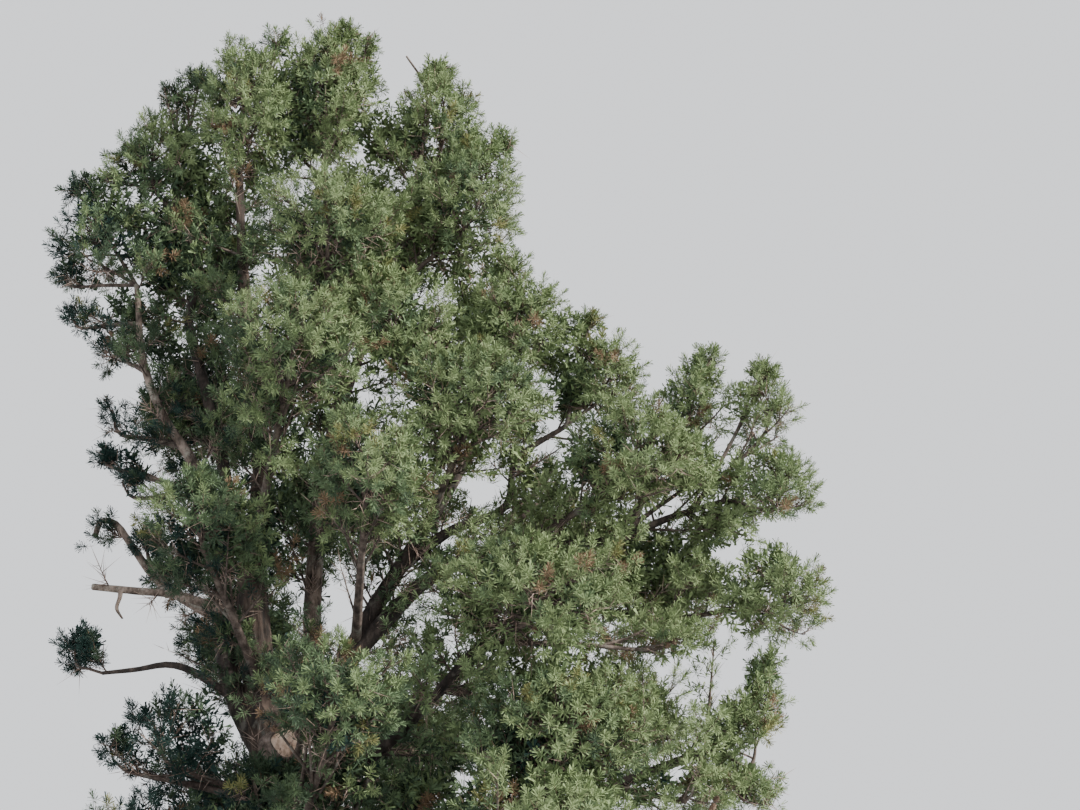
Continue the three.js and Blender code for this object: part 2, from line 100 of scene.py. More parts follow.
# Masses of needles as in the source: name, limb, how far along it, middle and half sizes of the space
MASSES = [
    ("crown_top", "grey_leader", 1, (-0.18, 0.4, 22.05), (1.33, 1.25, 1.72)),
    ("crown_top_left", "trunk", 1, (-1.56, -0.25, 21.3), (1.1, 1.15, 1.7)),
    ("second_top", "bare_leader", 0.62, (1.96, 0.6, 21.45), (0.93, 0.85, 1.43)),
    ("high_right_shoulder", "bare_leader", 0.32, (2.48, 0.2, 19.62), (1.15, 1.2, 1.48)),
    ("left_shoulder", "left_leader", 1, (-3.13, 0.2, 20.3), (1.25, 1.1, 1.25)),
    ("left_edge", "left_fork", 1, (-3.9, 0, 18.65), (1.0, 1.05, 1.15)),
    ("upper_front", "grey_leader", 0.6, (0.25, -1.65, 18.1), (1.6, 1.25, 1.15)),
    ("left_mid", "left_fork", 0.66, (-3.4, 0.5, 16.95), (0.95, 1, 0.95)),
    ("left_wisp", "left_fork", 0.35, (-3.38, 0.35, 15.45), (0.57, 0.6, 0.76)),
    ("left_low_wisp", "left_fork", 0.14, (-3.05, 0.25, 14.15), (0.65, 0.6, 0.46)),
    ("centre_front", "trunk", 0.64, (-0.1, -2.6, 15.5), (1.45, 1.15, 1.25)),
    ("right_crest", "right_leader", 1, (3.45, 0, 16.9), (1.15, 1.2, 1.15)),
    ("right_step", "upper_right_bough", 1, (4.8, 0.3, 16.1), (1.0, 1.1, 1.0)),
    ("right_inner", "right_leader", 0.62, (2.72, -1.75, 14.92), (1.53, 1.15, 1.08)),
    ("spire_left", "long_right_bough", 0.72, (6.48, 0.6, 15.9), (0.78, 0.95, 1.05)),
    ("spire_right", "long_right_bough", 0.9, (7.58, 0, 15.35), (0.64, 0.85, 1)),
    ("right_mid", "long_right_bough", 0.5, (5.35, -1.25, 14.15), (1.35, 1.15, 1.05)),
    ("right_edge", "long_right_bough", 1, (7.6, -0.4, 13.75), (0.9, 0.95, 0.88)),
    ("far_right", "far_right_bough", 1, (7.62, -0.2, 12.05), (0.98, 1.05, 0.88)),
    ("front_right", "front_right_bough", 1, (3.65, -2.75, 11.15), (2.05, 1.15, 1.12)),
    ("front_mid", "right_leader", 0.3, (1.2, -3.05, 13.05), (1.28, 1.05, 1.05)),
    ("front_left", "trunk", 0.52, (-1.35, -2.35, 12.55), (1.2, 1.05, 0.95)),
    ("left_tuft", "low_left_bough", 1, (-3.6, 0, 11.15), (0.51, 0.56, 0.49)),
    ("left_low", "trunk", 0.425, (-1.95, -0.35, 9.65), (0.95, 1.05, 1.08)),
    ("front_low", "trunk", 0.37, (0.9, -3.53, 9.4), (1.33, 1.05, 1.06)),
    ("low_right", "low_right_bough", 0.6, (4.05, -2.45, 9.25), (2.05, 1.2, 1.12)),
    ("low_right_edge", "low_right_bough", 1, (7.05, -0.25, 9.7), (0.86, 1.05, 1.4)),
    ("high_inner", "left_leader", 0.86, (-2.4, 0.9, 18.95), (1.35, 1.15, 1.4)),
    ("centre", "right_leader", 0.78, (1.43, -1.35, 16.5), (1.2, 1.1, 1.08)),
    ("right_low_mid", "far_right_bough", 0.55, (5.9, 0.9, 12.7), (1.35, 1.05, 1.2)),
    ("back_top", "grey_leader", 0.72, (0.7, 2.05, 20), (1.55, 1.25, 1.6)),
    ("back_high_right", "bare_leader", 0.25, (2.55, 1.7, 17.9), (1.3, 1.15, 1.2)),
    ("back_left", "left_leader", 0.52, (-2.35, 2.4, 16.6), (1.7, 1.45, 1.55)),
    ("back_centre", "grey_leader", 0.4, (0.2, 3.2, 15.2), (1.85, 1.4, 1.5)),
    ("back_right", "back_right_bough", 1, (4.3, 3.0, 13.75), (1.85, 1.45, 1.5)),
    ("back_low_left", "trunk", 0.5, (-1.3, 3.2, 12.5), (1.8, 1.4, 1.4)),
    ("back_low", "trunk", 0.45, (1.6, 4.0, 10.9), (1.75, 1.4, 1.4)),
    ("back_low_right", "back_right_bough", 0.6, (5.0, 2.9, 10.9), (1.8, 1.4, 1.45)),
    ("back_lowest", "trunk", 0.38, (-1.5, 2.7, 9.3), (1.5, 1.35, 1.2)),
]

# The lowest tier: masses round the trunk, every other one higher
LOW_COUNT = 6
LOW_CENTRE = 1.35  # right of the trunk
LOW_REACH = (3.85, 3.5)
LOW_HEIGHT = 6.6
LOW_RISE = 1.1
LOW_FIRST_HEADING = 10
LOW_FROM = (0.28, 0.33)
LOW_SIZE = (1.85, 1.65, 1.25)

# How a mass grows: its stem and branches as in the source, then twigs, and shoots that end in tufts
STEM_SLANT = 0.3
AREA_POWER = 1.6  # in the formula of a mass's surface
BRANCHES_PER_AREA = 1  # on a square metre of that surface
LEAST_BRANCHES = 2
FIRST_BRANCH = 0.12
LOWEST_BRANCH = -0.93
BRANCH_FEET = (0.35, 0.62)  # along the stem, and more for those that point ahead
BRANCH_FEET_PLAY = (0.88, 1)
BRANCH_REACH = (0.56, 0.86)  # shares of the way out to the surface
BRANCH_BEND = 0.55
BRANCH_SAG = (0.02, 0.14)  # of their length
LUMP_RATE = 1.7  # how often a mass's reach swells and sinks
LUMP_NOISE = (0.25, 0.7)
LUMPS = (0.72, 1.05)  # as shares of the way out to the surface
BARE_STEM = 1.5  # longer stems carry leafy branches before the mass
BARE_STEM_RADIUS = 0.04
STEM_BRANCHES = (0.22, 0.62, 1.3)  # from and to how far along them, and how long
TWIG_MARGIN = 0.2
TWIG_END = (0.88, 1.04)  # shares of the way out to that margin
DEAD_UNDER = 0.4  # share of the twigs underneath that are dead
SIDEWAYS = np.array([0.31, 0.87, 0.38])  # no twig points this way

# How leafy twigs stand on a branch and shoots on a twig: how many, along which stretch, set back how far
# by chance, their lean in degrees and the last one's, their pull outwards and upwards, and their length
TWIGS_PER_BRANCH = 9
SHOOTS_PER_TWIG = 3
TWIG_RULE = (TWIGS_PER_BRANCH, (0.36, 1), 0.06, (38, 74), 8, 0.35, 0.2, (0.24, 0.5))
SHOOT_RULE = (SHOOTS_PER_TWIG, (0.34, 1), 0.08, (40, 80), 10, 0.25, 0.35, (0.14, 0.28))

# Bare twigs on a branch
BARE_TWIGS = 9
BARE_FEET = (0.15, 1)
BARE_LEAN = (35, 85)
BARE_LENGTH = (0.15, 0.5)

# Wood: stations and sides of the tubes, and radii
BRANCH_TUBE = (5, 4)
BRANCH_RADIUS = (0.014, 0.011)  # at its foot, and more for each metre
BRANCH_TAPER = 0.3
STEM_TUBE = (14, 8)
STEM_RADIUS = (0.05, 0.011)
STEM_TIP = 0.022
STEM_TO_LIMB = 0.8  # the most of its limb's radius
TWIG_RADIUS = 0.011
BARE_TWIG_RADIUS = 0.0075
SHOOT_RADIUS = 0.006

# Tufts from the open air inwards: name, share with those before, needles, width, times as long
TUFT_KINDS = [("outer", 0.27, 50, 0.0145, 1), ("middle", 0.58, 21, 0.029, 1.1), ("inner", 1.0, 10, 0.06, 1.4)]
NEEDLE_LENGTH = (0.09, 0.135)
NEEDLE_FACING = (0.9, 0.35, 0.45)  # how far flats turn outwards, up and by chance
BLUNT_SHARE = 0.55  # of the needles, which are widest at their ends
TUFT_LENGTH = 0.12  # at a shoot's end
TUFT_SPREAD = (98, 12)  # degrees from the shoot, from the tuft's foot to its end
SPREAD_POWER = 1.3
SPREAD_PLAY = 9
LIMB_ROOM = 0.05  # between a limb and the nearest tuft
LIMB_STEP = 0.15
DEPTH_CELL = 0.3
DEPTH_RANGE = 4
WAYS_OUT = 20
MOST_TRIANGLES = 190000  # in one piece

# Cones, with bosses round each row: how far along the cone and how wide
CONE_GROUPS = 34
CONES_TOGETHER = 3
CONE_FEET = (0.45, 0.95)
CONE_SCATTER = 0.05
CONE_DROOP = -0.6
CONE_SIZE = (0.13, 0.045)  # length and radius
CONE_SIDES = 8
CONE_BOSSES = 0.14
CONE_ROWS = [(0.0, 0.25), (0.12, 0.8), (0.32, 1), (0.55, 0.88), (0.8, 0.5), (1, 0.05)]

# Tones of needles from deep in the crown to its sunny tips: name, highest tone, base colour; darker tones are
# painted shade and lighter ones painted sunlight, beside the needles' own darker older and lighter fresh
# greens
TONES = [
    # painted shade: a dark blue-green, as of needles in the crown's shade
    ("needles_shade", 0.13, (0.012, 0.034, 0.028)),
    ("needles_deep", 0.3, (0.042, 0.07, 0.038)),
    ("needles_mid", 0.41, (0.098, 0.147, 0.073)),
    ("needles_olive", 0.52, (0.144, 0.199, 0.09)),
    ("needles_light", 9.0, (0.17, 0.225, 0.102)),
]
SHADE_WAY = np.array([0.85, 0, 0.45])  # painted light and shade: the crown is painted lighter this way, and darker on its shaded side
SHADE_OUT = 0.8  # and for each metre to the front or back
SHADE_PLACES = [1.5, 3.5, 5, 7.5, 10, 13]  # metres that way
SHADE_THERE = [-0.42, -0.3, -0.18, 0.01, 0.18, 0.24]  # painted light and shade added to a tone at each
TONE_OUT = 0.5  # lighter from a mass's middle outwards: painted shade deep in a mass, where older needles are darker too
PAINTED_SUNLIGHT = 0.12  # painted sunlight: lighter on its sunny side
TONE_CHANCE = 0.07  # between branches, and between twigs
TONE_PLAY = 0.035  # chance between one tuft and the next
LIMB_TONE = (0.4, 0.08)  # where needles stand straight on a limb, and its chance

# Odd twigs: name, share of the twigs with those before, base colour
ODD_SHARES = [
    ("needles_dry", 0.016, (0.17, 0.112, 0.066)),
    ("needles_yellow", 0.034, (0.17, 0.175, 0.065)),
]

# Sprays that stand out of the masses or between them: as the masses, but without a name
SPRAYS = [
    ("left_fork", 1, (-4.35, 0, 19.75), (0.45, 0.5, 0.4)),
    ("left_fork", 1, (-4.45, 0.1, 18.05), (0.4, 0.45, 0.35)),
    ("left_fork", 0.85, (-4.2, 0.05, 17.2), (0.5, 0.45, 0.35)),
    ("left_fork", 0.14, (-3.5, 0.2, 14.65), (0.4, 0.4, 0.25)),
    ("trunk", 1, (-1.05, -0.2, 22.85), (0.35, 0.4, 0.3)),
    ("grey_leader", 1, (0.15, 0.4, 23.4), (0.35, 0.35, 0.35)),
    ("left_leader", 1, (-2.5, 0.1, 22.2), (0.35, 0.4, 0.3)),
    ("left_leader", 1, (-2.85, 0.1, 21.75), (0.45, 0.5, 0.4)),
    ("bare_leader", 0.85, (1.85, 0.6, 22.7), (0.42, 0.42, 0.28)),
    ("bare_leader", 0.45, (3.05, 0.2, 20.9), (0.35, 0.45, 0.35)),
    ("right_leader", 1, (3.25, 0.3, 18.35), (0.65, 0.6, 0.35)),
    ("upper_right_bough", 1, (4.6, 0.1, 17.05), (0.42, 0.5, 0.35)),
    ("long_right_bough", 0.75, (6.7, 0.6, 16.7), (0.42, 0.5, 0.3)),
    ("long_right_bough", 0.92, (7.65, 0.1, 16.2), (0.32, 0.45, 0.3)),
    ("long_right_bough", 0.4, (3.95, 0.5, 14.3), (0.75, 0.6, 0.4)),
    ("long_right_bough", 0.72, (6.3, 0.3, 14.5), (0.7, 0.6, 0.75)),
    ("front_right_bough", 1, (5.75, -1.2, 11.05), (0.85, 0.6, 0.45)),
    ("low_right_bough", 1, (6.95, -0.5, 8.8), (0.6, 0.6, 0.4)),
    ("low_right_bough", 0.75, (6.0, -1.3, 8.7), (0.9, 0.6, 0.6)),
    ("trunk", 0.36, (1.2, -1.9, 8.5), (1.1, 0.7, 0.5)),
    ("hooked_limb", 0.45, (-2.6, -0.05, 12.95), (0.5, 0.4, 0.5)),
    ("bare_leader", 0.72, (0.85, 0.7, 21.15), (0.45, 0.45, 0.6)),
    ("grey_leader", 0.97, (-0.55, 0.65, 21.1), (0.55, 0.5, 0.75)),
    ("grey_leader", 1, (0.5, 0.4, 23.1), (0.35, 0.4, 0.35)),
    ("trunk", 0.39, (0.4, -2.3, 8.9), (0.7, 0.6, 0.5)),
    ("hooked_limb", 0.25, (-2.35, 0.25, 12.6), (0.45, 0.4, 0.35)),
    ("trunk", 0.425, (-2.75, -0.3, 9.45), (0.42, 0.5, 0.5)),
    ("trunk", 0.38, (-0.4, -1.3, 8.7), (0.8, 0.6, 0.5)),
    ("trunk", 0.42, (0.3, -1.2, 10.3), (0.4, 0.4, 0.4)),
    ("long_right_bough", 0.9, (6.75, 0.1, 13.45), (0.45, 0.45, 0.28)),
    ("low_right_bough", 1, (7.4, 0, 10.85), (0.45, 0.5, 0.4)),
    ("trunk", 0.36, (2.0, -1.5, 8.45), (0.6, 0.6, 0.5)),
]
SPRAY_THINNED = 0.3  # share of a spray's twigs that is missing
SPRAY_TONE = 0.1  # how much lighter a spray is

# Limbs with leafy branches of their own: from and to how far along, and how long the branches are
LEAFY_LIMBS = [
    ("trunk", 0.3, 0.42, 1.2), ("trunk", 0.48, 0.8, 1), ("trunk", 0.8, 1, 1.5),
    ("left_leader", 0.3, 0.75, 1), ("left_leader", 0.75, 1, 1.4), ("left_fork", 0.3, 1, 0.8),
    ("grey_leader", 0.22, 0.65, 1.8), ("grey_leader", 0.65, 1, 1.4), ("bare_leader", 0.1, 0.72, 1.5),
    ("right_leader", 0.08, 1, 1.3), ("upper_right_bough", 0.15, 1, 1.2),
    ("long_right_bough", 0.15, 0.75, 1.1), ("long_right_bough", 0.75, 1, 1.8),
    ("far_right_bough", 0.2, 1, 1.3), ("low_left_bough", 0.85, 1, 0.4), ("hooked_limb", 0.12, 0.5, 0.9),
    ("hooked_limb", 0.74, 0.88, 0.2), ("front_right_bough", 0.02, 1, 1.4), ("low_right_bough", 0.2, 0.6, 1.3),
    ("low_right_bough", 0.6, 1, 1.9), ("back_right_bough", 0.3, 1, 1.2),
]
LIMB_BRANCH_STEP = 0.36  # along the limb, and less where branches are longer
LIMB_BRANCH_LENGTH = (0.25, 0.85)
LIMB_BRANCH_LEAN = (45, 85)
LIMB_BRANCH_LIFT = 0.25
LIMB_BRANCH_SAG = 0.04

# Limbs with dead branches, in the same way
DEAD_LIMBS = [
    ("trunk", 0.36, 0.62, 0.8), ("left_leader", 0.1, 0.6, 1), ("left_fork", 0.1, 0.6, 0.8),
    ("grey_leader", 0.08, 0.5, 1), ("right_leader", 0.2, 0.9, 1.5), ("upper_right_bough", 0, 0.8, 1.3),
    ("long_right_bough", 0.05, 0.7, 1.3), ("far_right_bough", 0, 0.9, 1.2), ("broken_limb", 0.45, 0.97, 0.5),
    ("hooked_limb", 0.2, 0.7, 0.5), ("front_right_bough", 0.1, 0.9, 1),
    ("low_right_bough", 0.1, 0.9, 1.2), ("back_right_bough", 0.1, 0.9, 1.2),
]

# Masses that the photograph shows thin, with the share of their twigs that is missing
THINNED = {
    "left_tuft": 0, "left_wisp": 0.66, "left_low_wisp": 0.25, "left_mid": 0.65, "left_edge": 0.25,
    "left_low": 0.35, "spire_left": 0.25, "spire_right": 0.3,
}

# Masses that the photograph shows lighter or darker than their place makes them: painted light and shade
# added to their tones
PAINTED_LIGHT_APART = {
    "left_shoulder": 0.15, "left_edge": 0.07, "crown_top_left": 0.04, "high_inner": -0.08,
    "front_left": 0.04,
}

# Gaps of sky: the middle, and the half sizes across, upright and along the photograph's view
VIEW_TILT = math.radians(25)
OPENINGS = [
    ((-3.7, -0.4, 8.6), (1.2, 0.6, 2.4)), ((-3.2, -0.2, 10.45), (0.45, 0.42, 1.6)),
    ((-3.95, 0.3, 14.1), (0.38, 0.26, 1.0)), ((0.52, 1.5, 12.65), (0.42, 0.7, 2.2)),
    ((0.86, -2.0, 11.6), (0.38, 0.6, 1.9)), ((-2.3, -0.25, 22.85), (0.3, 0.3, 1.5)),
    ((-4.1, 0.2, 21.1), (0.3, 0.35, 1.5)), ((1.85, 1.0, 18.1), (0.42, 0.2, 3.0)),
    ((8.0, -0.2, 9.8), (0.3, 0.5, 1.5)), ((6.83, 0, 12.84), (0.28, 0.2, 1.6)),
    ((-3.3, 0.2, 13.93), (0.4, 0.2, 1.0)), ((-2.9, 0, 11.45), (0.36, 0.36, 1.2)),
    ((0.12, -2.3, 9.1), (0.33, 0.34, 2.2)), ((-0.39, 1.5, 12.32), (0.19, 0.6, 3.0)),
    ((2.54, 2.0, 15.73), (0.42, 0.3, 2.2)), ((2.8, 0.2, 14.11), (0.33, 0.33, 2.6)),
    ((2.32, 0, 13.14), (0.24, 0.22, 2.6)), ((4.64, -0.5, 12.6), (0.5, 0.13, 3.0)),
    ((6.75, 1.0, 11.3), (0.42, 0.5, 2.2)), ((8.2, -0.3, 13.2), (0.45, 0.32, 1.5)),
    ((7.55, -0.25, 9.5), (0.65, 0.3, 1.8)), ((-3.3, 0.5, 16.2), (0.3, 0.42, 1.2)),
    ((0.01, -1.93, 9.19), (0.25, 0.4, 1.5)),
]


def low_tier():
    """The lowest tier's masses, by the source's rule."""
    masses = []
    for i in range(LOW_COUNT):
        heading = math.radians(LOW_FIRST_HEADING + 360 / LOW_COUNT * i)
        high = i % 2
        x = LOW_CENTRE + LOW_REACH[0] * math.cos(heading)
        at = (x, LOW_REACH[1] * math.sin(heading), LOW_HEIGHT + LOW_RISE * high)
        masses.append((f"low_tier_{i + 1}", "trunk", LOW_FROM[high], at, LOW_SIZE))
    return masses


ALL_MASSES = MASSES + low_tier()
MASS_NODES = [mass[0] for mass in ALL_MASSES]


def unit(v):
    return v / np.maximum(norm(v, axis=-1, keepdims=True), 1e-9)


class Path:
    """A smooth line through points, read by the share of its length."""

    FINE = 40  # samples between two points
    NEAR = 0.005  # half the stretch that gives a heading

    def __init__(self, points):
        p = np.array(points, float)
        p = np.vstack([2 * p[0] - p[1], p, 2 * p[-1] - p[-2]])
        gap = np.sqrt(norm(np.diff(p, axis=0), axis=1))
        share = np.linspace(0, 1, self.FINE, endpoint=False)[:, None]
        samples = []
        for i in range(1, len(p) - 2):
            a, b, c, d = p[i - 1 : i + 3]
            before, here, after = gap[i - 1 : i + 2]
            start = ((b - a) / before - (c - a) / (before + here) + (c - b) / here) * here
            end = ((c - b) / here - (d - b) / (here + after) + (d - c) / after) * here
            square = 3 * (c - b) - 2 * start - end
            cube = 2 * (b - c) + start + end
            samples.append(b + start * share + square * share**2 + cube * share**3)
        self.line = np.vstack(samples + [p[-2]])
        run = np.r_[0, np.cumsum(norm(np.diff(self.line, axis=0), axis=1))]
        self.length = run[-1]
        self.run = run / run[-1]

    def at(self, share):
        return np.stack([np.interp(share, self.run, self.line[:, k]) for k in range(3)], axis=-1)

    def heading(self, share):
        share = np.clip(share, self.NEAR, 1 - self.NEAR)
        return unit(self.at(share + self.NEAR) - self.at(share - self.NEAR))


HASH = (73856093, 19349663, 83492791, 2654435761)
SCRAMBLE = (1103515245, 12345)
LOW_BITS = 0xFFFFFF


def noise(points, seed=0):
    """Smooth random values from 0 to 1 in space."""
    cell = np.floor(points).astype(np.int64)
    part = points - cell
    part = part * part * (3 - 2 * part)
    total = 0
    for corner in np.ndindex(2, 2, 2):
        x, y, z = (cell + corner).T
        value = ((x * HASH[0]) ^ (y * HASH[1]) ^ (z * HASH[2]) ^ (seed * HASH[3])) & LOW_BITS
        value = ((value * SCRAMBLE[0] + SCRAMBLE[1]) & LOW_BITS) / LOW_BITS
        weight = np.prod(np.where(corner, part, 1 - part), axis=1)
        total = total + value * weight
    return total


def limb_radius(name, share, angle=0.0):
    path, girth = LIMB_PLAN[name]
    if girth:
        return girth[0] + (girth[1] - girth[0]) * share**TAPER_POWER
    height = path.at(share)[..., 2]
    heights, radii = zip(*TRUNK_GIRTH)
    flare = FLARE_REACH * np.exp(-np.maximum(height, 0) / FLARE_HEIGHT)
    lobes = 1 + BUTTRESS_DEPTH * np.cos(BUTTRESSES * angle)
    return np.interp(height, heights, radii) + flare * lobes


def plan_limbs():
    """Each limb's path and radius at its root and tip, by name; the trunk's radius is a rule of its own."""
    limbs = {"trunk": (Path(TRUNK_BENDS), None)}
    for name, host, share, girth, bends in LIMBS:
        foot = limbs[host][0].at(share)
        limbs[name] = (Path([foot, *bends]), girth)
    spaces = {m[0]: m for m in ALL_MASSES}
    for name, host, share, girth, hang, carried in BOUGHS:
        foot = limbs[host][0].at(share)
        centre, size = np.array(spaces[carried][3:])
        entry = centre + (foot - centre) * BOUGH_ENTRY / norm((foot - centre) / size)
        bends = [foot + (entry - foot) * s - UP * 4 * hang * s * (1 - s) for s in BOUGH_BENDS]
        limbs[name] = (Path([foot, *bends]), (girth, girth * BOUGH_TAPER))
    return limbs


LIMB_PLAN = plan_limbs()


# Meshes from arrays
def add_object(name, data):
    thing = bpy.data.objects.new(name, data)
    bpy.context.collection.objects.link(thing)
    return thing


def add_mesh(name, points, faces, look, slot, smooth=False):
    """A piece from arrays of points and faces."""
    mesh = bpy.data.meshes.new(name)
    mesh.from_pydata(points, [], faces, shade_flat=not smooth)
    mesh.materials.append(MATERIALS[look])
    piece = add_object(name, mesh)
    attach(piece, "root")
    return piece


def join_arrays(parts):
    """One set of points and faces from several."""
    points, faces = zip(*parts)
    starts = np.cumsum([0] + [len(p) for p in points])
    return np.vstack(points), np.vstack([f + start for f, start in zip(faces, starts)])


def turns(sides):
    return np.arange(sides) * 2 * math.pi / sides


def rings_round(along, sides):
    """A ring of directions square to each of the given ones."""
    side = unit(np.cross(along, SIDEWAYS))
    across = np.cross(along, side)
    angle = turns(sides)[:, None]
    return side[:, None] * np.cos(angle) + across[:, None] * np.sin(angle)


def ring_faces(*shape):
    """Four-cornered faces between rings that follow each other: the shape ends with rings and sides."""
    number = np.arange(math.prod(shape)).reshape(shape)
    a, b = number[..., :-1, :], number[..., 1:, :]
    return np.stack([a, np.roll(a, -1, axis=-1), np.roll(b, -1, axis=-1), b], axis=-1)


def tubes(lines, radii, sides):
    """Thin round twigs: lines is (twigs, stations, 3) and radii (twigs, stations)."""
    ring = rings_round(unit(lines[:, -1] - lines[:, 0]), sides)
    points = lines[:, :, None] + ring[:, None] * radii[:, :, None, None]
    return points.reshape(-1, 3), ring_faces(*radii.shape, sides).reshape(-1, 4)


def spikes(feet, tips, radius):
    """Three-sided shoots that end in a point."""
    base = feet[:, None] + rings_round(unit(tips - feet), 3) * radius
    points = np.concatenate([base, tips[:, None]], axis=1).reshape(-1, 3)
    start = np.arange(len(feet))[:, None] * 4
    faces = [np.hstack([start + i, start + (i + 1) % 3, start + 3]) for i in range(3)]
    return points, np.vstack(faces)


# Bark: each skin's sides, metres between its rings, depth of its relief and furrows in a metre
PALE_LIMBS = ["left_fork", "grey_leader", "bare_leader", "broken_limb", "hooked_limb"]
TRUNK_SKIN = (84, 0.1, 0.045, 9.0)
THICK_SKIN = (36, 0.1, 0.02, 14.0)
THIN_SKIN = (20, 0.13, 0.02, 14.0)
THICK_LIMB = 0.19
FULL_RELIEF = 0.2  # thinner limbs have less of it
BARK_LUMPS = (2.2, 2.2, 0.9)  # rates in a metre across, across and along a limb
CRACKS = np.array([1, 1, 0.22])  # rates beside the skin's furrows
CROSS_CRACKS = np.array([0.6, 0.6, 0.5])
BARK_GRAIN = 26
SNAP = 0.3  # how far a limb's broken end stands out, in its radii
SNAP_WIDTH = 0.7
CLOSED = 0.001  # radius at which an end is closed

# The end of the broken limb, which hangs from it
STUB_BENDS = [(-2.97, -0.2, 12.2), (-2.96, -0.26, 12.05), (-2.99, -0.27, 11.86), (-2.89, -0.25, 11.7)]
STUB_RADII = (0.042, 0.036, 0.03, 0.018)
STUB_SIDES = 20

# The wound on the trunk: rows are shares of its size and how far they stand out
WOUND_AT = (-0.13, -0.49, 9.6)
WOUND_SIZE = (0.24, 0.27)
WOUND_SIDES = 28
WOUND_TILT = 0.25
WOUND_WAVER = 0.5
WOUND_WAVES = 6
COLLAR_ROWS = [(1.45, -0.16), (1.25, -0.03), (1.06, 0.055), (0.94, 0.05), (0.9, 0.015)]
FACE_ROWS = [(0.6, 0.03), (0.3, 0.022), (0.01, 0.03)]


def bark_relief(spots, furrow, seed):
    """How far the bark stands out, in depths of its relief: lumps, plates between cracks, and a grain."""
    lumps = noise(spots * BARK_LUMPS, seed) - 0.5
    crack = np.abs(noise(spots * (furrow * CRACKS), seed + 1) - 0.5) * 2
    cross_crack = np.abs(noise(spots * (furrow * CROSS_CRACKS), seed + 2) - 0.5) * 2
    plates = np.minimum(crack**0.6, 0.35 + cross_crack**0.6)
    grain = noise(spots * BARK_GRAIN, seed + 3) - 0.5
    return lumps * 2.2 + plates - 0.75 + grain * 0.5


def bark_skin(name, sides, step, depth, furrow):
    """A limb's surface: rings along its path, with the bark's relief and closed ends."""
    path = LIMB_PLAN[name][0]
    rings = int(path.length / step)
    share = np.linspace(0, 1, rings)
    if name == "trunk":
        share = share**1.25  # closer together at the foot
    angle = turns(sides)
    heading = path.heading(share)
    across = unit((path.at(1.0) - path.at(0.0)) * LEVEL)
    side = np.array([-across[1], across[0], 0])
    out = unit(side - heading * (heading @ side)[:, None])
    up = np.cross(heading, out)
    ring = out[:, None] * np.cos(angle)[:, None] - up[:, None] * np.sin(angle)[:, None]
    radius = np.broadcast_to(limb_radius(name, share[:, None], angle[None]), (rings, sides))
    around = ring * radius[:, :, None]
    run = np.broadcast_to((share * path.length)[:, None], (rings, sides))
    spots = np.stack([around[..., 0], around[..., 1], run], axis=-1).reshape(-1, 3)
    relief = bark_relief(spots, furrow, sum(map(ord, name))).reshape(rings, sides)
    fade = np.minimum(1, radius / FULL_RELIEF)
    points = path.at(share)[:, None] + ring * (radius + relief * depth * fade)[:, :, None]
    root = points[:1].mean(axis=1, keepdims=True)
    snap = points[-1:].mean(axis=1, keepdims=True) + heading[-1] * radius[-1].mean() * SNAP
    rim = snap + ring[-1:] * radius[-1].mean() * SNAP_WIDTH
    points = np.concatenate([root + ring[:1] * CLOSED, points, rim, snap + ring[-1:] * CLOSED])
    faces = ring_faces(len(points), sides).reshape(-1, 4)
    points = points.reshape(-1, 3)
    if name == "trunk":
        points[:, 2] = np.maximum(points[:, 2], 0)
    return points, faces


def hanging_stub():
    """A round tube with closed ends along the stub's line."""
    share = np.linspace(0, 1, 4 * len(STUB_BENDS))
    line = Path(STUB_BENDS).at(share)
    line = np.vstack([line[:1], line, line[-1:]])
    radius = np.interp(share, np.linspace(0, 1, len(STUB_RADII)), STUB_RADII)
    return tubes(line[None], np.r_[CLOSED, radius, CLOSED][None], STUB_SIDES)


def dress_limbs():
    points, faces = bark_skin("trunk", *TRUNK_SKIN)
    trunk = add_mesh("trunk_bark", points, faces, "furrowed_bark", "trunk_bark", smooth=True)
    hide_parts("trunk")
    dark = [name for name in LIMB_PLAN if name != "trunk" and name not in PALE_LIMBS]
    for kind, names in (("pale_bark", PALE_LIMBS), ("dark_bark", dark)):
        parts = []
        for name in names:
            thick = LIMB_PLAN[name][1][0] > THICK_LIMB
            parts.append(bark_skin(name, *(THICK_SKIN if thick else THIN_SKIN)))
        if kind == "pale_bark":
            parts.append(hanging_stub())
        piece = add_mesh(kind, *join_arrays(parts), kind, "limb_bark", smooth=True)
        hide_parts(*names)


def add_wound():
    """A pale oval face on the trunk where a limb was shed, in a swollen collar of bark."""
    path = LIMB_PLAN["trunk"][0]
    centre = np.array(WOUND_AT)
    share = float(np.interp(centre[2], path.line[:, 2], path.run))
    out = unit(unit(centre - path.at(share)) * LEVEL + UP * WOUND_TILT)
    across = unit(np.cross(UP, out))
    upright = np.cross(out, across)
    angle = turns(WOUND_SIDES)[:, None]
    rim = across * np.cos(angle) * WOUND_SIZE[0] + upright * np.sin(angle) * WOUND_SIZE[1]
    waver = 1 + WOUND_WAVER * (noise(rim * WOUND_WAVES + 3, 5)[:, None] - 0.5)
    rows = COLLAR_ROWS + FACE_ROWS
    points = np.vstack([centre + rim * waver * wide + out * proud for wide, proud in rows])
    faces = ring_faces(len(rows), WOUND_SIDES)
    split = len(COLLAR_ROWS) - 1
    for kind, part in (("wound_collar", faces[:split]), ("wound_face", faces[split:])):
        used, where = np.unique(part, return_inverse=True)
        where = where.reshape(-1, 4)
        piece = add_mesh(kind, points[used], where, kind, "trunk_bark", smooth=True)
        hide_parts("trunk")


# Foliage
def stem_path(mass):
    """From its limb, low through the middle of the space, to near its far side."""
    _, host, share, centre, size = mass
    foot = LIMB_PLAN[host][0].at(share)
    slant = UP * STEM_SLANT * size[2]
    level = (centre - foot) * LEVEL
    level = level / max(norm(level), 1)
    low = centre - slant
    end = centre + slant + level * STEM_SLANT * min(size[:2])
    return Path([foot, (foot + low) / 2, low, end])


